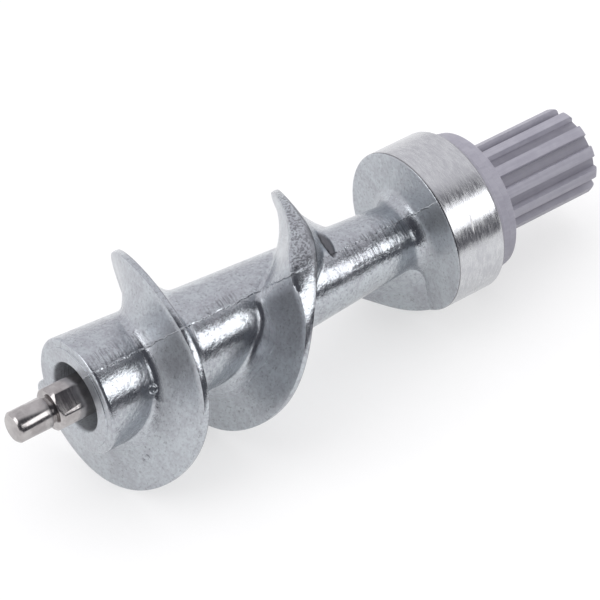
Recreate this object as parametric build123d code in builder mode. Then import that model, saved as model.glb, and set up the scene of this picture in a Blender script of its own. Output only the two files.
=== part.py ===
from build123d import *
from math import exp, log, radians, sin, sqrt, tan
import os

# Meat grinder auger: lies along X, knife spindle towards -X, drive coupling towards +X.
# The origin is on the axis, midway along the collar. Turn angles run from +Y towards +Z, in degrees.

full_turn = 360.0
half_turn = full_turn / 2

# Cast screw: collar, tapered core and hub
collar_length = 15.0
collar_radius = 21.5
collar_edge = 0.9
collar_fillet = 4.0
screw_length = 100.8
core_hub_radius = 15.2
core_neck_radius = 8.6
hub_edge = 1.2
recess_radius = 8.9
recess_edge = 0.8
recess_depth = 13.0

# Flight: a left-hand helix with a coarse pitch at the collar and a fine one at the hub
flight_hub_radius = 29.4
rear_pitch = 64.0
front_pitch = 29.4
start_angle = -150.0
flight_root = 6.5
change_angle = 213.6
blend_angle = 10.0
flight_margin = 3.35
tip_angle = 14.0
tip_share = 0.35
section_angle = 12.0

# Section of the flight: a narrow land on drafted flanks that flare into the core
land_width = 1.9
land_crown = 0.15
front_draft = 6.0
rear_draft = 15.0
front_flare = 4.6
rear_flare = 5.6
flare_rise = 0.6
flank_sink = 1.0
hub_ledge = 1.0
ledge_blend = 1.0

# Where the mould parts, the fine turns swing square to the axis, less so at the end, and the coarse
# ones have a wider land
parting_angle = 126.0
parting_swing = 2.3
swing_end_share = 0.5
swing_fade_angle = 60.0
swing_blend = 0.3
front_land = 3.2
front_land_angle = 20.0
rear_land = 3.3
rear_land_lead_angle = 10.0
rear_land_angle = 30.0

# Knife spindle, cast into the hub
spindle_radius = 6.0
square_width = 10.7
square_length = 7.4
square_turn = 44.0
shoulder_chamfer = 0.9
groove_width = 1.3
groove_depth = 0.7
tip_radius = 4.0
tip_length = 10.4
tip_chamfer = 0.6
spindle_anchor = 20.0

# Drive coupling on its hexagonal spigot: a flange that steps down, then a ribbed sleeve
flange_radius = 19.5
flange_steps = 3
flange_step = 0.5
flange_width = 6.4
flange_edge = 0.4
sleeve_length = 32.8
valley_radius = 10.1
rib_count = 12
rib_turn = 29.0
rib_radius = 11.9
rib_width = 2.7
rib_end_round = 1.0
spigot_sides = 6
spigot_width = 11.0
spigot_clearance = 0.1

# Coupling screw
screw_radius = 2.5
screw_depth = 14.0
screw_clearance = 0.25
web_thickness = 4.0
head_radius = 4.6
head_height = 3.2
head_crown = 1.0
head_clearance = 0.3
head_inset = 0.4
cross_width = 1.1
cross_length = 4.6
cross_depth = 1.8

# Stations along the axis
collar_rear = collar_length / 2
collar_front = -collar_length / 2
hub_face = collar_front - screw_length
anchor_end = hub_face + recess_depth + spindle_anchor
square_shoulder = hub_face - square_length
groove_start = square_shoulder - groove_width
tip_end = square_shoulder - tip_length
flange_rear = collar_rear + flange_width
sleeve_end = flange_rear + sleeve_length
head_seat = sleeve_end - head_inset - head_height
socket_end = head_seat - web_thickness
spigot_end = socket_end - spigot_clearance
screw_end = spigot_end - screw_depth

# Turn at which the flight ends, just behind the hub's face
coarse_run = rear_pitch * (change_angle - start_angle) / full_turn
fine_run = collar_front + flight_root - hub_face - flight_margin - coarse_run
end_angle = change_angle + fine_run * full_turn / front_pitch


def core_radius(station):
    share = (collar_front - station) / screw_length
    return core_neck_radius + (core_hub_radius - core_neck_radius) * share


def crest_radius(station):
    share = (collar_front - station) / screw_length
    return collar_radius + (flight_hub_radius - collar_radius) * share


def smooth_min(first, second, blend):
    return (first + second - sqrt((first - second) ** 2 + blend ** 2)) / 2


def fine_turn(turn):
    return blend_angle * log(1 + exp((turn - change_angle) / blend_angle))


def fine_share(turn):
    return 1 / (1 + exp((change_angle - turn) / blend_angle))


def crest_station(turn):
    coarse_travel = rear_pitch * (turn - start_angle - fine_turn(turn))
    fine_travel = front_pitch * fine_turn(turn)
    fade = swing_end_share + (end_angle - turn) / swing_fade_angle
    swing_share = fine_share(turn) * smooth_min(1, fade, swing_blend)
    swing = parting_swing * swing_share * sin(radians((turn - parting_angle) * full_turn / half_turn))
    return collar_front + flight_root - (coarse_travel + fine_travel) / full_turn + swing


def parting_bump(turn, centre, spread):
    offset = (turn - centre + half_turn / 2) % half_turn - half_turn / 2
    return exp(-((offset / spread) ** 2))


def flight_section(turn):
    crest = crest_station(turn)
    into_tip = max(0, turn - (end_angle - tip_angle)) / tip_angle
    full_height = crest_radius(crest) - core_radius(crest)
    height = full_height * sqrt(1 - into_tip ** 2 * (1 - tip_share ** 2))
    top = core_radius(crest) + height - land_crown

    # The coarse turns' land spreads both ways towards each parting line
    coarse_share = 1 - fine_share(turn)
    rear_centre = parting_angle - rear_land_lead_angle
    front_spread = front_land * coarse_share * parting_bump(turn, parting_angle, front_land_angle)
    rear_spread = rear_land * coarse_share * parting_bump(turn, rear_centre, rear_land_angle)
    front_edge = crest - land_width / 2 - front_spread
    rear_edge = crest + land_width / 2 + rear_spread

    # The front flank stays behind the hub's face, the rear one inside the collar
    room = front_edge - hub_face - hub_ledge
    front_toe = front_edge - smooth_min(height * tan(radians(front_draft)), room / 2, ledge_blend)
    front_foot = front_toe - smooth_min(front_flare, room / 2, ledge_blend)
    rear_toe = rear_edge + height * tan(radians(rear_draft))
    rear_foot = smooth_min(rear_toe + rear_flare, collar_rear - flank_sink, ledge_blend)

    front_low = (front_foot, core_radius(front_foot) - flank_sink)
    front_bend = (front_toe, core_radius(front_toe) + flare_rise)
    crown = ((front_edge + rear_edge) / 2, top + land_crown)
    rear_bend = (rear_toe, core_radius(rear_toe) + flare_rise)
    rear_low = (rear_foot, core_radius(rear_foot) - flank_sink)
    with BuildSketch(Plane.XY.rotated((turn, 0, 0))) as section:
        with BuildLine():
            Bezier(front_low, front_bend, (front_edge, top))
            ThreePointArc((front_edge, top), crown, (rear_edge, top))
            Bezier((rear_edge, top), rear_bend, rear_low)
            Line(rear_low, front_low)
        make_face()
    return section.sketch


section_count = round((end_angle - start_angle) / section_angle)
turn_step = (end_angle - start_angle) / section_count
section_turns = [start_angle + turn_step * index for index in range(section_count + 1)]

# Knife spindle: a turned bar with a relief groove behind the tip and four milled flats
with BuildPart() as knife_spindle:
    with BuildSketch(Plane.XZ):
        with BuildLine():
            Polyline(
                (tip_end, 0),
                (tip_end, tip_radius - tip_chamfer),
                (tip_end + tip_chamfer, tip_radius),
                (groove_start, tip_radius),
                (groove_start, tip_radius - groove_depth),
                (square_shoulder, tip_radius - groove_depth),
                (square_shoulder, spindle_radius - shoulder_chamfer),
                (square_shoulder + shoulder_chamfer, spindle_radius),
                (anchor_end, spindle_radius),
                (anchor_end, 0),
                close=True,
            )
        make_face()
    revolve(axis=Axis.X)
    with BuildSketch(Plane.YZ.offset(square_shoulder)):
        Circle(spindle_radius + square_width)
        Rectangle(square_width, square_width, rotation=square_turn, mode=Mode.SUBTRACT)
    extrude(amount=anchor_end - square_shoulder, mode=Mode.SUBTRACT)
knife_spindle.part.label = "knife_spindle"

# Cast screw: hub, core and collar in one profile, then the recess, the flight and the spigot
with BuildPart() as cast_screw:
    with BuildSketch(Plane.XZ):
        with BuildLine():
            Polyline(
                (hub_face, 0),
                (hub_face, core_hub_radius),
                (collar_front, core_neck_radius),
                (collar_front, collar_radius),
                (collar_rear, collar_radius),
                (collar_rear, 0),
                close=True,
            )
        make_face()
    revolve(axis=Axis.X)
    fillet(cast_screw.edges().filter_by(GeomType.CIRCLE).sort_by(SortBy.RADIUS)[0], collar_fillet)
    fillet(cast_screw.edges().filter_by(GeomType.CIRCLE).group_by(Axis.X)[0], hub_edge)
    chamfer(cast_screw.edges().filter_by(GeomType.CIRCLE).sort_by(SortBy.RADIUS)[-2:], collar_edge)
    with BuildSketch(Plane.YZ.offset(hub_face)):
        Circle(recess_radius)
    extrude(amount=recess_depth, mode=Mode.SUBTRACT)
    hub_circles = cast_screw.edges().filter_by(GeomType.CIRCLE).group_by(Axis.X)[0]
    chamfer(hub_circles.sort_by(SortBy.RADIUS)[0], recess_edge)
    loft(sections=[flight_section(turn) for turn in section_turns])
    add(knife_spindle.part, mode=Mode.SUBTRACT)
    with BuildSketch(Plane.YZ.offset(collar_rear)):
        RegularPolygon(spigot_width / 2, spigot_sides, major_radius=False)
    extrude(amount=spigot_end - collar_rear)
    with BuildSketch(Plane.YZ.offset(screw_end)):
        Circle(screw_radius)
    extrude(amount=screw_depth, mode=Mode.SUBTRACT)
cast_screw.part.label = "cast_screw"

# Drive coupling: stepped flange and ribbed sleeve with a hexagonal socket
with BuildPart() as drive_coupling:
    for step in range(flange_steps):
        with BuildSketch(Plane.YZ.offset(collar_rear)):
            Circle(flange_radius - flange_step * step)
        extrude(amount=flange_width * (step + 1) / flange_steps)
        chamfer(drive_coupling.faces().sort_by(Axis.X)[-1].edges(), flange_edge)
    with BuildSketch(Plane.YZ.offset(flange_rear)):
        Circle(valley_radius)
        with PolarLocations(0, rib_count, start_angle=rib_turn):
            with Locations((rib_radius / 2, 0)):
                Rectangle(rib_radius, rib_width)
    extrude(amount=sleeve_length)
    # Round the ends of the ribs
    with BuildSketch(Plane.XZ):
        with BuildLine():
            round_start = (sleeve_end - rib_end_round, rib_radius)
            round_end = (sleeve_end, rib_radius - rib_end_round)
            corner_radius = rib_radius + rib_width
            RadiusArc(round_start, round_end, rib_end_round)
            Polyline(round_end, (sleeve_end, corner_radius), (round_start[0], corner_radius), round_start)
        make_face()
    revolve(axis=Axis.X, mode=Mode.SUBTRACT)
    with BuildSketch(Plane.YZ.offset(collar_rear)):
        RegularPolygon(spigot_width / 2 + spigot_clearance, spigot_sides, major_radius=False)
    extrude(amount=socket_end - collar_rear, mode=Mode.SUBTRACT)
    with BuildSketch(Plane.YZ.offset(socket_end)):
        Circle(screw_radius + screw_clearance)
    extrude(amount=web_thickness, mode=Mode.SUBTRACT)
    with BuildSketch(Plane.YZ.offset(head_seat)):
        Circle(head_radius + head_clearance)
    extrude(amount=sleeve_end - head_seat, mode=Mode.SUBTRACT)
drive_coupling.part.label = "drive_coupling"

# Coupling screw: pan head with a cross recess
with BuildPart() as coupling_screw:
    with BuildSketch(Plane.YZ.offset(head_seat)):
        Circle(head_radius)
    extrude(amount=head_height)
    fillet(coupling_screw.faces().sort_by(Axis.X)[-1].edges(), head_crown)
    with BuildSketch(Plane.YZ.offset(screw_end)):
        Circle(screw_radius)
    extrude(amount=head_seat - screw_end)
    with BuildSketch(Plane.YZ.offset(head_seat + head_height)):
        Rectangle(cross_length, cross_width)
        Rectangle(cross_width, cross_length)
    extrude(amount=-cross_depth, mode=Mode.SUBTRACT)
coupling_screw.part.label = "coupling_screw"

os.makedirs("parts", exist_ok=True)
export_step(cast_screw.part, "parts/cast_screw.step")
export_step(knife_spindle.part, "parts/knife_spindle.step")
export_step(drive_coupling.part, "parts/drive_coupling.step")
export_step(coupling_screw.part, "parts/coupling_screw.step")
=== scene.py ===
import bpy
import math
from mathutils import Matrix, Vector


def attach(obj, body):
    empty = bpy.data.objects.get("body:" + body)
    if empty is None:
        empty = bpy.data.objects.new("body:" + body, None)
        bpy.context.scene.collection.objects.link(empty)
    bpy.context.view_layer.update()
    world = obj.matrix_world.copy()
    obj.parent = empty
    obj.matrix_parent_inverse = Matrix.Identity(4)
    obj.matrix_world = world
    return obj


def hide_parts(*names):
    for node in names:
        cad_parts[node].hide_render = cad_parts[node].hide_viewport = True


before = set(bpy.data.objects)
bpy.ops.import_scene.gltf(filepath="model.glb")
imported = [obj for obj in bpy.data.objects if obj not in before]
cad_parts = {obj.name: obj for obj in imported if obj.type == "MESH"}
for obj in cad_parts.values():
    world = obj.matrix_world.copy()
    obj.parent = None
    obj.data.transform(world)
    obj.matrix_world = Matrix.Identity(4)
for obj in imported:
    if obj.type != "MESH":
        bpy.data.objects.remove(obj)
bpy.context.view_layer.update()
mm = 0.001
print("frame loaded, nodes:", ", ".join(sorted(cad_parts)))

# settings of the tools below, lengths in mm and angles in degrees
meshing = {"mergeGap": 0.002, "roundSteps": 8, "smoothAngle": 40}


# small tools shared by the pieces
def clearSelection():
    if bpy.context.mode != "OBJECT":
        bpy.ops.object.mode_set(mode="OBJECT")
    bpy.ops.object.select_all(action="DESELECT")


def takePiece(piece):
    clearSelection()
    piece.select_set(True)
    bpy.context.view_layer.objects.active = piece


def editPiece(piece):
    takePiece(piece)
    bpy.ops.object.mode_set(mode="EDIT")
    bpy.ops.mesh.select_all(action="SELECT")


def mergePoints():
    bpy.ops.mesh.remove_doubles(threshold=meshing["mergeGap"] * mm)


def newPiece(name, points, edges, faces):
    mesh = bpy.data.meshes.new(name)
    mesh.from_pydata(points, edges, faces)
    piece = bpy.data.objects.new(name, mesh)
    bpy.context.collection.objects.link(piece)
    return piece


def smoothPiece(piece, angle):
    takePiece(piece)
    bpy.ops.object.shade_smooth_by_angle(angle=math.radians(angle))


# the direction away from the screw's axis at a turn in degrees
def outwardAt(turn):
    return Vector((0, math.cos(math.radians(turn)), math.sin(math.radians(turn))))


# a profile of (station, radius, rounding) corners, in mm,
# with its corners rounded and its long runs divided
def roundedProfile(corners, longest):
    line = []
    for index, (x, r, rounding) in enumerate(corners):
        here = Vector((x, r))
        if rounding == 0 or index in (0, len(corners) - 1):
            line.append(here)
            continue
        before = (Vector(corners[index - 1][:2]) - here).normalized()
        after = (Vector(corners[index + 1][:2]) - here).normalized()
        half = before.angle(after) / 2
        reach = rounding / math.tan(half)
        middle = here + (before + after).normalized() * (rounding / math.sin(half))
        first = here + before * reach - middle
        last = here + after * reach - middle
        sweep = first.angle_signed(last)
        for step in range(meshing["roundSteps"] + 1):
            turn = -sweep * step / meshing["roundSteps"]
            line.append(middle + Matrix.Rotation(turn, 2) @ first)
    divided = [line[0]]
    for point in line[1:]:
        start = divided[-1].copy()
        count = max(1, math.ceil((point - start).length / longest))
        for step in range(1, count + 1):
            divided.append(start.lerp(point, step / count))
    return divided


# spin a profile about the screw's axis
def spunPiece(name, line, steps):
    points = [Vector((p.x * mm, p.y * mm, 0)) for p in line]
    piece = newPiece(name, points, [(i, i + 1) for i in range(len(points) - 1)], [])
    editPiece(piece)
    bpy.ops.mesh.spin(steps=steps, angle=2 * math.pi, center=(0, 0, 0), axis=(1, 0, 0))
    bpy.ops.mesh.select_all(action="SELECT")
    mergePoints()
    bpy.ops.mesh.normals_make_consistent(inside=False)
    bpy.ops.object.mode_set(mode="OBJECT")
    return piece


# the casting: hub, core and collar spun from one profile, sizes in mm
casting = {
    "collarFront": -7.5, "collarRear": 7.5, "collarRadius": 21.5,
    "collarEdge": 0.5, "collarRearEdge": 0.8,
    "hubFace": -108.3, "hubRadius": 15.2, "hubEdge": 0.9, "neckRadius": 8.6, "neckFillet": 4.0,
    "stepRadius": 13.0, "stepDepth": 0.25, "stepSlope": 0.1, "stepEdge": 0.1,
    "recessRadius": 8.9, "recessDepth": 13.0, "recessEdge": 0.8, "recessCorner": 0.8,
    "spinSteps": 240, "longestRun": 0.9,
    "turnedDepth": 0.6, "turnedInset": 0.2,   # how far the collar's turned face reaches
}


def hubShare(x):
    return (casting["collarFront"] - x) / (casting["collarFront"] - casting["hubFace"])


def coreRadius(x):
    return casting["neckRadius"] + (casting["hubRadius"] - casting["neckRadius"]) * hubShare(x)


def crestRadius(x):
    rise = flight["hubRadius"] - casting["collarRadius"]
    return casting["collarRadius"] + rise * hubShare(x)


recessFloor = casting["hubFace"] + casting["recessDepth"]
stepFace = casting["hubFace"] + casting["stepDepth"]
bodyCorners = [
    (recessFloor, 0, 0),
    (recessFloor, casting["recessRadius"], casting["recessCorner"]),
    (casting["hubFace"], casting["recessRadius"], casting["recessEdge"]),
    (casting["hubFace"], casting["stepRadius"], casting["stepEdge"]),
    (stepFace, casting["stepRadius"] + casting["stepSlope"], casting["stepEdge"]),
    (stepFace, casting["hubRadius"], casting["hubEdge"]),
    (casting["collarFront"], casting["neckRadius"], casting["neckFillet"]),
    (casting["collarFront"], casting["collarRadius"], casting["collarEdge"]),
    (casting["collarRear"], casting["collarRadius"], casting["collarRearEdge"]),
    (casting["collarRear"], 0, 0),
]

# a sunken pocket on top of the core, behind the coarse turn, sizes in mm
pocket = {
    "place": (-33.0, -0.9, 10.2), "along": (0.21, 0.97, 0.11), "across": (0.97, -0.21, 0.0),
    "halfLength": 5.2, "halfWidth": 1.35, "depth": 0.8, "wallShare": 0.5, "coreReach": 4.0,
    "finerRows": 3, "finerReach": 3.7,   # closer rows of points this far to each side
    # the pocket's upper side is darkened by this share as painted shade
    "topSide": (3, 5, 0, 1), "shade": 0.9,
}
bodyLine = []
for point in roundedProfile(bodyCorners, casting["longestRun"]):
    nearPocket = abs(point.x - pocket["place"][0]) < pocket["finerReach"]
    rows = pocket["finerRows"] if nearPocket and bodyLine else 1
    start = bodyLine[-1] if bodyLine else point
    bodyLine.extend(start.lerp(point, step / rows) for step in range(1, rows + 1))
castScrew = spunPiece("castScrew", bodyLine, casting["spinSteps"])
print("casting spun:", len(castScrew.data.polygons), "faces")


# the flight: a left-hand blade with a coarse pitch behind and a fine one in front,
# lengths in mm and angles in degrees
flight = {
    "hubRadius": 29.4, "rearPitch": 64.0, "frontPitch": 29.4, "start": -150.0, "root": 6.5,
    "change": 213.6, "blend": 10.0, "margin": 3.35, "tip": 14.0, "tipShare": 0.35, "rowTurn": 2.0,
    "land": 1.9, "crown": 0.15, "frontDraft": 6.0, "rearDraft": 15.0,
    "frontFlare": 4.6, "rearFlare": 5.6,
    "flareRise": 0.6, "sink": 1.0, "hubLedge": 1.0, "ledgeBlend": 1.0,
    "parting": 126.0, "swing": 2.3, "swingEnd": 0.5, "swingFade": 60.0, "swingBlend": 0.3,
    "frontLand": 3.2, "frontLandSpread": 20.0,
    "rearLand": 3.3, "rearLandLead": 10.0, "rearLandSpread": 30.0,
    "flankPoints": 18, "landPoints": 6, "edgeTrim": 0.02, "landTrim": 0.08,
    "toeReach": 0.8, "toeSink": 0.5, "keelSink": 2.5,   # the part hidden in the core
}
coarseRun = flight["rearPitch"] * (flight["change"] - flight["start"]) / 360
wholeRun = casting["collarFront"] + flight["root"] - casting["hubFace"] - flight["margin"]
flight["end"] = flight["change"] + (wholeRun - coarseRun) * 360 / flight["frontPitch"]


def smoothMin(first, second, blend):
    return (first + second - math.sqrt((first - second) ** 2 + blend ** 2)) / 2


def fineTurn(turn):
    return flight["blend"] * math.log(1 + math.exp((turn - flight["change"]) / flight["blend"]))


def fineShare(turn):
    return 1 / (1 + math.exp((flight["change"] - turn) / flight["blend"]))


def crestStation(turn):
    coarse = flight["rearPitch"] * (turn - flight["start"] - fineTurn(turn))
    fine = flight["frontPitch"] * fineTurn(turn)
    toEnd = flight["swingEnd"] + (flight["end"] - turn) / flight["swingFade"]
    swing = flight["swing"] * fineShare(turn) * smoothMin(1, toEnd, flight["swingBlend"])
    swing *= math.sin(math.radians(2 * (turn - flight["parting"])))
    return casting["collarFront"] + flight["root"] - (coarse + fine) / 360 + swing


# 1 where a turn crosses the parting plane, fading over the spread
def partingBump(turn, centre, spread):
    offset = (turn - centre + 90) % 180 - 90
    return math.exp(-((offset / spread) ** 2))


def quadratic(a, b, c, t):
    return a * (1 - t) ** 2 + b * 2 * t * (1 - t) + c * t ** 2


# a point of the flank, with a fillet where it runs out into the core
def filleted(point):
    core = coreRadius(point.x)
    depth = flight["sink"]
    near = max(depth - abs(point.y - core), 0) / depth
    return Vector((point.x, max(core, point.y) + near * near * depth / 4))


# one meridian section, as (station, radius) points
# from the front foot over the land to the rear foot, then back inside the core
def bladeSection(turn):
    crest = crestStation(turn)
    intoTip = max(0, turn - (flight["end"] - flight["tip"])) / flight["tip"]
    fullHeight = crestRadius(crest) - coreRadius(crest)
    height = fullHeight * math.sqrt(1 - intoTip ** 2 * (1 - flight["tipShare"] ** 2))
    top = coreRadius(crest) + height - flight["crown"]
    coarseShare = 1 - fineShare(turn)
    frontBump = partingBump(turn, flight["parting"], flight["frontLandSpread"])
    rearCentre = flight["parting"] - flight["rearLandLead"]
    rearBump = partingBump(turn, rearCentre, flight["rearLandSpread"])
    frontEdge = crest - flight["land"] / 2 - flight["frontLand"] * frontBump * coarseShare
    rearEdge = crest + flight["land"] / 2 + flight["rearLand"] * rearBump * coarseShare
    room = frontEdge - casting["hubFace"] - flight["hubLedge"]
    blend = flight["ledgeBlend"]
    frontLean = height * math.tan(math.radians(flight["frontDraft"]))
    frontToe = frontEdge - smoothMin(frontLean, room / 2, blend)
    frontFoot = frontToe - smoothMin(flight["frontFlare"], room / 2, blend)
    rearToe = rearEdge + height * math.tan(math.radians(flight["rearDraft"]))
    rearLimit = casting["collarRear"] - flight["sink"]
    rearFoot = smoothMin(rearToe + flight["rearFlare"], rearLimit, blend)

    def onCore(x, rise):
        return Vector((x, coreRadius(x) + rise))

    # the toe and the keel lie as deep as the core is at the foot
    def belowFoot(foot, offset, depth):
        return Vector((foot + offset, coreRadius(foot) - depth))

    front = [onCore(frontFoot, -flight["sink"]), onCore(frontToe, flight["flareRise"]),
             Vector((frontEdge, top))]
    rear = [Vector((rearEdge, top)), onCore(rearToe, flight["flareRise"]),
            onCore(rearFoot, -flight["sink"])]
    crown = Vector(((frontEdge + rearEdge) / 2, top + 2 * flight["crown"]))
    count = flight["flankPoints"]
    trim = flight["edgeTrim"]
    inset = flight["landTrim"]
    toe = flight["toeReach"]
    line = [belowFoot(frontFoot, -toe, flight["toeSink"])]
    for step in range(count):
        line.append(filleted(quadratic(*front, step / (count - 1) * (1 - trim))))
    for step in range(flight["landPoints"]):
        share = inset + (1 - 2 * inset) * step / (flight["landPoints"] - 1)
        line.append(quadratic(front[2], crown, rear[0], share))
    for step in range(count):
        line.append(filleted(quadratic(*rear, trim + step / (count - 1) * (1 - trim))))
    line.append(belowFoot(rearFoot, toe, flight["toeSink"]))
    line.append(belowFoot(rearFoot, -toe, flight["keelSink"]))
    line.append(belowFoot(frontFoot, toe, flight["keelSink"]))
    return line


rowCount = round((flight["end"] - flight["start"]) / flight["rowTurn"])
firstLand = 1 + flight["flankPoints"]
lastLand = firstLand + flight["landPoints"] - 1
bladePoints = []
landShares = []  # how far each point belongs to the wide land of the coarse turns, for the material
edgeShadeShares = []  # and whether it lies on the rear edge of the land, where the material paints a dark reflection line
for row in range(rowCount + 1):
    turn = flight["start"] + (flight["end"] - flight["start"]) * row / rowCount
    side = outwardAt(turn)
    for index, point in enumerate(bladeSection(turn)):
        bladePoints.append(Vector((point.x * mm, 0, 0)) + side * (point.y * mm))
        landShares.append(1 - fineShare(turn) if firstLand <= index <= lastLand else 0)
        edgeShadeShares.append(1 if lastLand <= index <= lastLand + 1 else 0)
around = len(bladePoints) // (rowCount + 1)
bladeFaces = []
for row in range(rowCount):
    for index in range(around):
        a = row * around + index
        b = row * around + (index + 1) % around
        bladeFaces.append((a, b, b + around, a + around))
bladeFaces.append(tuple(range(around)))
bladeFaces.append(tuple(range(rowCount * around, (rowCount + 1) * around)))
blade = newPiece("blade", bladePoints, [], bladeFaces)
for name, shares in (("landShare", landShares), ("edgeShadeShare", edgeShadeShares)):
    blade.data.attributes.new(name, "FLOAT", "POINT").data.foreach_set("value", shares)
editPiece(blade)
bpy.ops.mesh.normals_make_consistent(inside=False)
bpy.ops.object.mode_set(mode="OBJECT")
print("flight bladed:", len(blade.data.polygons), "faces")


# copies of the smaller CAD pieces, merged, with a fine edge, in mm and degrees
fineEdges = {
    "spindleEdge": 0.12, "couplingEdge": 0.25, "screwEdge": 0.1,
    "segments": 2, "sharpAngle": 30, "flatAngle": 0.5,
}


def finePiece(name, nodeName, edge):
    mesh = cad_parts[nodeName].data.copy()
    mesh.name = name
    piece = bpy.data.objects.new(name, mesh)
    bpy.context.collection.objects.link(piece)
    editPiece(piece)
    mergePoints()
    bpy.ops.mesh.dissolve_limited(angle_limit=math.radians(fineEdges["flatAngle"]))
    bpy.ops.object.mode_set(mode="OBJECT")
    bevel = piece.modifiers.new("fineEdge", "BEVEL")
    bevel.width = edge * mm
    bevel.segments = fineEdges["segments"]
    bevel.limit_method = "ANGLE"
    bevel.angle_limit = math.radians(fineEdges["sharpAngle"])
    bevel.use_clamp_overlap = True
    takePiece(piece)
    bpy.ops.object.modifier_apply(modifier=bevel.name)
    smoothPiece(piece, fineEdges["sharpAngle"])
    return piece


knifeSpindle = finePiece("knifeSpindle", "knife_spindle", fineEdges["spindleEdge"])
driveCoupling = finePiece("driveCoupling", "drive_coupling", fineEdges["couplingEdge"])
couplingScrew = finePiece("couplingScrew", "coupling_screw", fineEdges["screwEdge"])
print("small pieces merged")


# node helpers for the materials
def newMaterial(name):
    material = bpy.data.materials.new(name)
    material.use_nodes = True
    tree = material.node_tree
    return material, tree, tree.nodes["Principled BSDF"]


def addNode(tree, kind, values=None, **settings):
    node = tree.nodes.new(kind)
    for key, value in settings.items():
        setattr(node, key, value)
    for key, value in (values or {}).items():
        node.inputs[key].default_value = value
    return node


# a noise of the given scale, detail, roughness and distortion
def addNoise(tree, vector, scale, detail, rough, distort=0.0):
    values = {"Scale": scale, "Detail": detail, "Roughness": rough, "Distortion": distort}
    node = addNode(tree, "ShaderNodeTexNoise", values)
    tree.links.new(vector, node.inputs["Vector"])
    return node.outputs["Fac"]


# a smooth step from low..high to toLow..toHigh
def addRange(tree, value, low, high, toLow, toHigh):
    values = {"From Min": low, "From Max": high, "To Min": toLow, "To Max": toHigh}
    node = addNode(tree, "ShaderNodeMapRange", values, interpolation_type="SMOOTHSTEP")
    tree.links.new(value, node.inputs["Value"])
    return node.outputs["Result"]


def addMath(tree, operation, first, second):
    node = addNode(tree, "ShaderNodeMath", operation=operation)
    for socket, value in zip(node.inputs, (first, second)):
        if isinstance(value, (int, float)):
            socket.default_value = value
        else:
            tree.links.new(value, socket)
    return node.outputs[0]


def addProduct(tree, first, second):
    return addMath(tree, "MULTIPLY", first, second)


# the largest of several values
def addMost(tree, values):
    most = values[0]
    for value in values[1:]:
        most = addMath(tree, "MAXIMUM", most, value)
    return most


# the sum of several (share, value) pairs
def addSum(tree, parts):
    total = None
    for share, value in parts:
        scaled = addProduct(tree, value, share)
        total = scaled if total is None else addMath(tree, "ADD", total, scaled)
    return total


def addMix(tree, share, first, second):
    node = addNode(tree, "ShaderNodeMix", data_type="RGBA")
    tree.links.new(share, node.inputs["Factor"])
    for name, value in (("A", first), ("B", second)):
        socket = [s for s in node.inputs if s.name == name and s.type == "RGBA"][0]
        if isinstance(value, tuple):
            socket.default_value = (*value, 1)
        else:
            tree.links.new(value, socket)
    return [s for s in node.outputs if s.type == "RGBA"][0]


# a bump from a height given in mm
def addBump(tree, height):
    node = addNode(tree, "ShaderNodeBump", {"Strength": 1.0, "Distance": mm})
    tree.links.new(height, node.inputs["Height"])
    return node.outputs["Normal"]


# a vector operation on a vector and a fixed one
def addVector(tree, operation, vector, fixed):
    node = addNode(tree, "ShaderNodeVectorMath", operation=operation)
    tree.links.new(vector, node.inputs[0])
    node.inputs[1].default_value = fixed
    return node


def addDot(tree, vector, direction):
    return addVector(tree, "DOT_PRODUCT", vector, direction).outputs["Value"]


def addDistance(tree, vector, centre):
    return addVector(tree, "DISTANCE", vector, centre).outputs["Value"]


# the distance from the screw's axis
def addRadius(tree, vector):
    flat = addVector(tree, "MULTIPLY", vector, (0, 1, 1)).outputs["Vector"]
    return addDistance(tree, flat, (0, 0, 0))


def addPlace(tree, kind):
    return addNode(tree, "ShaderNodeTexCoord").outputs[kind]


# object coordinates in mm
def placeInMm(tree):
    node = addNode(tree, "ShaderNodeVectorMath", {"Scale": 1 / mm}, operation="SCALE")
    tree.links.new(addPlace(tree, "Object"), node.inputs[0])
    return node.outputs["Vector"]


# 1 inside a spot of the given half length and half width round a place, fading to its edge
def addSpot(tree, vector, centre, along, across, halfLength, halfWidth, inner=0.5, outer=1.1):
    away = addVector(tree, "SUBTRACT", vector, centre).outputs["Vector"]
    squares = []
    for direction, half in ((along, halfLength), (across, halfWidth)):
        share = addMath(tree, "DIVIDE", addDot(tree, away, direction), half)
        squares.append(addMath(tree, "POWER", share, 2))
    return addRange(tree, addMath(tree, "ADD", *squares), inner, outer, 1, 0)


# 1 between low and high, with soft ends
def addBand(tree, value, low, high, soft):
    rise = addRange(tree, value, low - soft, low + soft, 0, 1)
    return addProduct(tree, rise, addRange(tree, value, high - soft, high + soft, 1, 0))


def stretched(tree, vector, scale):
    node = addNode(tree, "ShaderNodeMapping", {"Scale": scale})
    tree.links.new(vector, node.inputs["Vector"])
    return node.outputs["Vector"]


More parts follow.
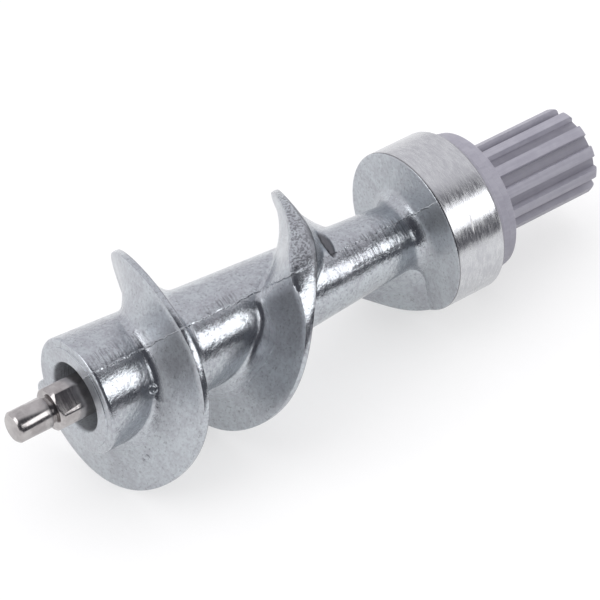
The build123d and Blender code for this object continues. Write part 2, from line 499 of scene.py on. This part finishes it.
# In the looks below, lengths are in mm, a noise is its scale, detail, roughness and distortion,
# a range is low and high, then what they become, and heights belong to the bump.
aluminiumLook = {
    "pale": (0.535, 0.57, 0.60), "dull": (0.42, 0.43, 0.465), "pitsAndShade": (0.10, 0.10, 0.11),
    "rough": (0.35, 0.65, 0.10, 0.25), "mottle": (0.4, 0.6), "mottleRange": (0.38, 0.64, 0, 1),
    "clouds": (0.085, 6, 0.62, 1.2), "grain": (0.95, 6, 0.66), "flow": (0.12, 2, 0.5, 0.8),
    "speck": (1.7, 2, 0.6), "patches": (0.35, 3, 0.6),
    "strokes": (1, 3, 0.6), "strokeStretch": (1.9, 0.10, 0.10),
    "flowHeight": 0.22, "grainHeight": 0.085, "seamHeight": 0.20, "ledgeHeight": 0.10,
    "strokeHeight": 0.12, "markHeight": 0.14, "spotHeight": 0.10,
    "seamFacing": (0, 0.717, 0.697), "seamOffset": 3.07,   # how far the parting plane is from the axis
    "seamRagged": (0.3, 0.7, -0.25, 0.25), "seamBreaks": (0.3, 0.7, 0.3, 1),
    "ridge": (-0.16, 0.16, 0.12), "ledge": (-0.2, 0.2, 0, 1),
    # trimmed runs as first and last station, then lowest and highest place beside the seam
    "strokeRuns": ((-107.5, -91.0, 0.3, 4.2), (-31.0, -9.0, -5.2, 1.2), (-73.0, -64.0, 0.6, 2.6)),
    "strokeEnds": 1.0, "strokeSides": 0.6, "strokeBreaks": (0.35, 0.6, 0.2, 1),
    "strokeShade": (0.46, 0.56, 0, 0.45),
    "markPlaces": ((-94.85, -13.55, 4.61), (-98.79, -14.77, -14.31), (-34.88, -9.33, -4.43)),
    "markRadius": 0.9, "markLine": 0.22,
    "landSide": (0.2, 1.2, 0.1, 1), "spotShade": (0.46, 0.60, 0, 0.6),
    "pitShade": (0.54, 0.78, 0, 0.55), "edgeShade": (0.3, 0.6, 0.35, 0.85),
    "recessSide": (9.0, 9.5, 1, 0), "recessEnd": (-94, -92, 1, 0),
    "recessRough": 0.55, "recessDull": 0.9,
    "mattRange": (0.5, 0.85, 0, 1), "mattRough": 0.28, "mattDull": 0.30,
}


def castAluminium():
    look = aluminiumLook
    material, tree, shader = newMaterial("castAluminium")
    inMm = placeInMm(tree)
    along = addDot(tree, inMm, (1, 0, 0))
    clouds = addNoise(tree, inMm, *look["clouds"])
    grain = addNoise(tree, inMm, *look["grain"])
    flow = addNoise(tree, inMm, *look["flow"])
    speck = addNoise(tree, inMm, *look["speck"])
    patches = addNoise(tree, inMm, *look["patches"])

    # the flash left where the two mould halves met
    offSeam = addMath(tree, "SUBTRACT", addDot(tree, inMm, look["seamFacing"]), look["seamOffset"])
    ragged = addMath(tree, "ADD", offSeam, addRange(tree, patches, *look["seamRagged"]))
    breaks = addRange(tree, patches, *look["seamBreaks"])
    ridge = addProduct(tree, addBand(tree, ragged, *look["ridge"]), breaks)
    ledge = addRange(tree, ragged, *look["ledge"])

    # short strokes of the trimming tool beside the flash
    strokes = addNoise(tree, stretched(tree, inMm, look["strokeStretch"]), *look["strokes"])
    runs = []
    for first, last, low, high in look["strokeRuns"]:
        lengthwise = addBand(tree, along, first, last, look["strokeEnds"])
        runs.append(addProduct(tree, lengthwise, addBand(tree, offSeam, low, high, look["strokeSides"])))
    trimmed = addProduct(tree, addMost(tree, runs), addRange(tree, patches, *look["strokeBreaks"]))

    # the rings left by the ejector pins
    rings = []
    for centre in look["markPlaces"]:
        inner = look["markRadius"] - look["markLine"]
        outer = look["markRadius"] + look["markLine"]
        rings.append(addBand(tree, addDistance(tree, inMm, centre), inner, outer, look["markLine"]))
    marks = addMost(tree, rings)

    # the painted shade on the upper side of the pocket behind the coarse turn, and the spotted land of
    # that turn
    topSide = addRange(tree, addDot(tree, inMm, (0, 0, 1)), *pocket["topSide"])
    pocketShade = addSpot(tree, inMm, pocket["place"], pocket["along"], pocket["across"],
                     pocket["halfLength"], pocket["halfWidth"])
    pocketShade = addProduct(tree, addProduct(tree, pocketShade, topSide), pocket["shade"])
    land = addNode(tree, "ShaderNodeAttribute", attribute_name="landShare").outputs["Fac"]
    spotted = addProduct(tree, land, addRange(tree, offSeam, *look["landSide"]))

    mixed = addSum(tree, zip(look["mottle"], (clouds, grain)))
    colour = addMix(tree, addRange(tree, mixed, *look["mottleRange"]), look["pale"], look["dull"])
    # the rear edge of the land gets a painted dark reflection line
    edges = addNode(tree, "ShaderNodeAttribute", attribute_name="edgeShadeShare").outputs["Fac"]
    # pits, tool strokes and land spots are real marks; the pocket's upper side is painted shade and the
    # rear edge of the land a painted dark reflection
    marksAndShade = addMost(tree, (
        addRange(tree, speck, *look["pitShade"]),
        addProduct(tree, edges, addRange(tree, patches, *look["edgeShade"])),
        addProduct(tree, spotted, addRange(tree, speck, *look["spotShade"])),
        pocketShade,
        addProduct(tree, trimmed, addRange(tree, strokes, *look["strokeShade"])),
    ))
    tree.links.new(addMix(tree, marksAndShade, colour, look["pitsAndShade"]), shader.inputs["Base Color"])

    # the recess is left as it came from the mould, rough and dull,
    # and the flanks and end faces keep a matt skin
    inside = addProduct(tree, addRange(tree, addRadius(tree, inMm), *look["recessSide"]),
                        addRange(tree, along, *look["recessEnd"]))
    facing = addMath(tree, "ABSOLUTE", addDot(tree, addPlace(tree, "Normal"), (1, 0, 0)), 0)
    matt = addRange(tree, facing, *look["mattRange"])
    rough = addMost(tree, (
        addRange(tree, mixed, *look["rough"]),
        addProduct(tree, inside, look["recessRough"]),
        addProduct(tree, matt, look["mattRough"]),
    ))
    tree.links.new(rough, shader.inputs["Roughness"])
    skin = addMost(tree, (
        addProduct(tree, inside, look["recessDull"]),
        addProduct(tree, matt, look["mattDull"]),
    ))
    tree.links.new(addMath(tree, "SUBTRACT", 1, skin), shader.inputs["Metallic"])

    height = addSum(tree, (
        (look["flowHeight"], flow), (look["grainHeight"], grain),
        (look["seamHeight"], ridge), (look["ledgeHeight"], ledge),
        (look["strokeHeight"], addProduct(tree, trimmed, strokes)),
        (look["markHeight"], marks),
        (look["spotHeight"], addProduct(tree, spotted, speck)),
    ))
    tree.links.new(addBump(tree, height), shader.inputs["Normal"])
    return material


collarLook = {
    "low": (0.50, 0.505, 0.53), "high": (0.63, 0.64, 0.655),
    # edge is painted shade along the collar's front and rear rims
    "bright": (0.9, 0.9, 0.9), "edge": (0.22, 0.22, 0.23),
    "lines": (1, 4, 0.62), "lineStretch": (1.6, 0.35, 0.35), "waves": (0.26, 4, 0.6, 0.4),
    "shade": (0.65, 0.35), "shadeRange": (0.36, 0.64, 0, 1), "rough": (0.3, 0.7, 0.18, 0.30),
    "edgeWidth": 0.5, "edgeSoft": 0.2,
    "lineHeight": 0.035, "waveHeight": 0.03, "scratchHeight": 0.15,
    "scratchPlace": (-1.05, -18.4, 10.85), "scratchAlong": (-0.25, -0.5, -0.83),
    "scratchAcross": (1.0, -0.2, 0.0), "scratchHalfLength": 2.4, "scratchHalfWidth": 0.22,
    "scratchRough": 0.6, "scratchMetal": (0, 1, 1.0, 0.2),
}


def turnedAluminium():
    look = collarLook
    material, tree, shader = newMaterial("turnedAluminium")
    inMm = placeInMm(tree)
    lines = addNoise(tree, stretched(tree, inMm, look["lineStretch"]), *look["lines"])
    waves = addNoise(tree, inMm, *look["waves"])
    shade = addSum(tree, zip(look["shade"], (lines, waves)))
    colour = addMix(tree, addRange(tree, shade, *look["shadeRange"]), look["low"], look["high"])
    scratch = addSpot(tree, inMm, look["scratchPlace"], look["scratchAlong"], look["scratchAcross"],
                      look["scratchHalfLength"], look["scratchHalfWidth"])
    # painted shade: the collar darkens to the edge colour near its front and rear faces
    between = addBand(tree, addDot(tree, inMm, (1, 0, 0)), casting["collarFront"] + look["edgeWidth"],
                      casting["collarRear"] - look["edgeWidth"], look["edgeSoft"])
    colour = addMix(tree, addMath(tree, "SUBTRACT", 1, between), colour, look["edge"])
    tree.links.new(addMix(tree, scratch, colour, look["bright"]), shader.inputs["Base Color"])
    rough = addMost(tree, (addRange(tree, lines, *look["rough"]),
                           addProduct(tree, scratch, look["scratchRough"])))
    tree.links.new(rough, shader.inputs["Roughness"])
    tree.links.new(addRange(tree, scratch, *look["scratchMetal"]), shader.inputs["Metallic"])
    height = addSum(tree, ((look["lineHeight"], lines), (look["waveHeight"], waves),
                           (look["scratchHeight"], scratch)))
    tree.links.new(addBump(tree, height), shader.inputs["Normal"])
    return material


steelLook = {
    "low": (0.37, 0.35, 0.35), "high": (0.50, 0.48, 0.475),
    "clouds": (0.22, 4, 0.6), "cloudRange": (0.35, 0.65, 0, 1),
    "lines": (1, 3, 0.6), "lineStretch": (3.2, 0.06, 0.06), "lineHeight": 0.008,
    "rough": (0.3, 0.7, 0.12, 0.26),
}


def turnedSteel():
    look = steelLook
    material, tree, shader = newMaterial("turnedSteel")
    inMm = placeInMm(tree)
    lines = addNoise(tree, stretched(tree, inMm, look["lineStretch"]), *look["lines"])
    clouds = addRange(tree, addNoise(tree, inMm, *look["clouds"]), *look["cloudRange"])
    tree.links.new(addMix(tree, clouds, look["low"], look["high"]), shader.inputs["Base Color"])
    tree.links.new(addRange(tree, lines, *look["rough"]), shader.inputs["Roughness"])
    height = addProduct(tree, lines, look["lineHeight"])
    tree.links.new(addBump(tree, height), shader.inputs["Normal"])
    shader.inputs["Metallic"].default_value = 1.0
    return material


platedLook = {
    "low": (0.50, 0.50, 0.48), "high": (0.64, 0.64, 0.64),
    "clouds": (0.4, 4, 0.6), "cloudRange": (0.35, 0.65, 0, 1), "rough": (0.3, 0.7, 0.22, 0.36),
}


def platedSteel():
    look = platedLook
    material, tree, shader = newMaterial("platedSteel")
    clouds = addNoise(tree, placeInMm(tree), *look["clouds"])
    colour = addMix(tree, addRange(tree, clouds, *look["cloudRange"]), look["low"], look["high"])
    tree.links.new(colour, shader.inputs["Base Color"])
    tree.links.new(addRange(tree, clouds, *look["rough"]), shader.inputs["Roughness"])
    shader.inputs["Metallic"].default_value = 1.0
    return material


plasticLook = {
    # the darkest colour is painted shade laid between the ribs
    "low": (0.30, 0.292, 0.345), "high": (0.36, 0.352, 0.405), "valleyShade": (0.13, 0.125, 0.155),
    "clouds": (0.3, 4, 0.6), "grain": (2.4, 3, 0.6),
    "drag": (1, 3, 0.6), "dragStretch": (0.05, 1.5, 1.5),   # lines from leaving the mould
    "shade": (0.5, 0.5), "shadeRange": (0.35, 0.65, 0, 1), "rough": (0.3, 0.7, 0.36, 0.48),
    "sleeve": (12.6, 13.0, 1, 0), "valleyShadeShare": (10.1, 10.8, 0.45, 0),   # by distance from the axis
    "dragHeight": 0.02, "grainHeight": 0.006,
}


def greyPlastic():
    look = plasticLook
    material, tree, shader = newMaterial("greyPlastic")
    inMm = placeInMm(tree)
    radius = addRadius(tree, inMm)
    drag = addNoise(tree, stretched(tree, inMm, look["dragStretch"]), *look["drag"])
    clouds = addNoise(tree, inMm, *look["clouds"])
    grain = addNoise(tree, inMm, *look["grain"])
    shade = addSum(tree, zip(look["shade"], (clouds, drag)))
    colour = addMix(tree, addRange(tree, shade, *look["shadeRange"]), look["low"], look["high"])
    valleyShadeShare = addRange(tree, radius, *look["valleyShadeShare"])   # painted shade between the ribs, darkening towards the valley floor
    tree.links.new(addMix(tree, valleyShadeShare, colour, look["valleyShade"]), shader.inputs["Base Color"])
    tree.links.new(addRange(tree, grain, *look["rough"]), shader.inputs["Roughness"])
    lines = addProduct(tree, drag, addRange(tree, radius, *look["sleeve"]))
    height = addSum(tree, ((look["dragHeight"], lines), (look["grainHeight"], grain)))
    tree.links.new(addBump(tree, height), shader.inputs["Normal"])
    return material


castMaterial = castAluminium()
castScrew.data.materials.append(castMaterial)
castScrew.data.materials.append(turnedAluminium())
blade.data.materials.append(castMaterial)
turnedRadius = casting["collarRadius"] - casting["turnedDepth"]
turnedFront = casting["collarFront"] + casting["turnedInset"]
for face in castScrew.data.polygons:
    x, y, z = face.center / mm
    if math.hypot(y, z) > turnedRadius and x > turnedFront:
        face.material_index = 1
smoothPiece(blade, meshing["smoothAngle"])
smoothPiece(castScrew, meshing["smoothAngle"])
blade.select_set(True)
bpy.ops.object.join()

# press the pocket into the core
for vertex in castScrew.data.vertices:
    place = vertex.co / mm
    away = place - Vector(pocket["place"])
    reachAlong = away.dot(Vector(pocket["along"])) / pocket["halfLength"]
    reachAcross = away.dot(Vector(pocket["across"])) / pocket["halfWidth"]
    reach = reachAlong ** 2 + reachAcross ** 2
    offCore = abs(math.hypot(place.y, place.z) - coreRadius(place.x))
    if reach < 1 and place.z > 0 and offCore < pocket["coreReach"]:
        drop = pocket["depth"] * min(1, (1 - reach) / pocket["wallShare"])
        vertex.co -= Vector((0, place.y, place.z)).normalized() * (drop * mm)
for piece, material in (
    (knifeSpindle, turnedSteel()), (driveCoupling, greyPlastic()), (couplingScrew, platedSteel()),
):
    piece.data.materials.clear()
    piece.data.materials.append(material)
print("materials set")

for piece, nodeName, slotName in (
    (castScrew, "cast_screw", "cast_aluminium"),
    (knifeSpindle, "knife_spindle", "turned_steel"),
    (driveCoupling, "drive_coupling", "grey_plastic"),
    (couplingScrew, "coupling_screw", "plated_steel"),
):
    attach(piece, "root")
    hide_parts(nodeName)


# floor, light and camera, in m and degrees, with the floor's point in mm
studio = {
    "floorTilt": -3.92, "floorPoint": (-101.7, 0.0, -28.95), "floorSize": 6.0, "floorFront": -0.135,
    "floorLow": (0.46, 0.46, 0.46), "floorHigh": (0.48, 0.48, 0.48),
    "floorPaper": (40, 3, 0.5), "floorRough": 0.9, "floorGlow": 0.52,
    "white": (1, 1, 1), "fill": 1.45, "soft": 0.35,
    "backdrop": (0.87, 0.86, 0.89), "room": (0.10, 0.10, 0.115),
    "roomSide": (-0.3, -0.95, 0.0), "roomRange": (-0.04, 0.32, 0, 1),
    "target": (-0.04, 0, 0),
    # lamps as name, place, width, depth and power
    "lamps": (
        ("frontLamp", (0.40, -0.74, 0.45), 0.70, 0.44, 2.6),
        ("leftLamp", (-0.94, 0.14, 0.42), 0.5, 0.5, 1.7),
    ),
    "cameraPlace": (-0.4298, -0.5191, 0.5327), "cameraRight": (0.79242, -0.60976, -0.01539),
    "cameraUp": (0.39855, 0.49852, 0.76983), "sensor": 36, "lens": 204, "clipStart": 0.01,
}


# 1 for rays that see a surface straight, in a mirror or through glass
def addSeen(tree, path):
    return addMost(tree, [path.outputs[kind] for kind in (
        "Is Camera Ray", "Is Glossy Ray", "Is Transmission Ray")])


clearSelection()
bpy.ops.mesh.primitive_plane_add(size=studio["floorSize"])
floor = bpy.context.active_object
floor.name = "floor"
tilt = Matrix.Rotation(math.radians(studio["floorTilt"]), 4, "Y")
floorMiddle = studio["floorFront"] + studio["floorSize"] / 2
floor.data.transform(Matrix.Translation((0, floorMiddle, 0)))
floor.data.transform(Matrix.Translation(Vector(studio["floorPoint"]) * mm) @ tilt)
floorMaterial, tree, shader = newMaterial("paleFloor")
paper = addNoise(tree, addPlace(tree, "Object"), *studio["floorPaper"])
tree.links.new(addMix(tree, paper, studio["floorLow"], studio["floorHigh"]), shader.inputs["Base Color"])
shader.inputs["Roughness"].default_value = studio["floorRough"]
shader.inputs["Specular IOR Level"].default_value = 0.0
shader.inputs["Emission Color"].default_value = (*studio["white"], 1)
seen = addSeen(tree, addNode(tree, "ShaderNodeLightPath"))
tree.links.new(addProduct(tree, seen, studio["floorGlow"]), shader.inputs["Emission Strength"])
floor.data.materials.append(floorMaterial)

world = bpy.data.worlds.new("studioWorld")
bpy.context.scene.world = world
world.use_nodes = True
tree = world.node_tree
sky = tree.nodes["Background"]
path = addNode(tree, "ShaderNodeLightPath")
# a pale sweep behind and overhead and, on the camera's side, the dim room
towardsRoom = addDot(tree, addPlace(tree, "Generated"), studio["roomSide"])
roomShare = addRange(tree, towardsRoom, *studio["roomRange"])
colour = addMix(tree, roomShare, studio["backdrop"], studio["room"])
softShare = addProduct(tree, path.outputs["Is Diffuse Ray"], studio["soft"])
colour = addMix(tree, softShare, colour, studio["white"])
colour = addMix(tree, path.outputs["Is Camera Ray"], colour, studio["white"])
tree.links.new(colour, sky.inputs["Color"])
strength = addRange(tree, addSeen(tree, path), 0, 1, studio["fill"], 1.0)
tree.links.new(strength, sky.inputs["Strength"])

for name, place, width, depth, power in studio["lamps"]:
    light = bpy.data.lights.new(name, "AREA")
    light.shape = "RECTANGLE"
    light.size = width
    light.size_y = depth
    light.energy = power
    lamp = bpy.data.objects.new(name, light)
    bpy.context.collection.objects.link(lamp)
    lamp.location = place
    towards = Vector(studio["target"]) - Vector(place)
    lamp.rotation_euler = towards.to_track_quat("-Z", "Y").to_euler()

camera = bpy.data.objects.new("camera", bpy.data.cameras.new("camera"))
bpy.context.collection.objects.link(camera)
right = Vector(studio["cameraRight"])
up = Vector(studio["cameraUp"])
turned = Matrix((right, up, right.cross(up))).transposed().to_4x4()
camera.matrix_world = Matrix.Translation(studio["cameraPlace"]) @ turned
camera.data.sensor_width = studio["sensor"]
camera.data.lens = studio["lens"]
camera.data.clip_start = studio["clipStart"]
bpy.context.scene.camera = camera
bpy.context.scene.view_settings.view_transform = "Standard"
print("studio set")

bpy.context.view_layer.update()
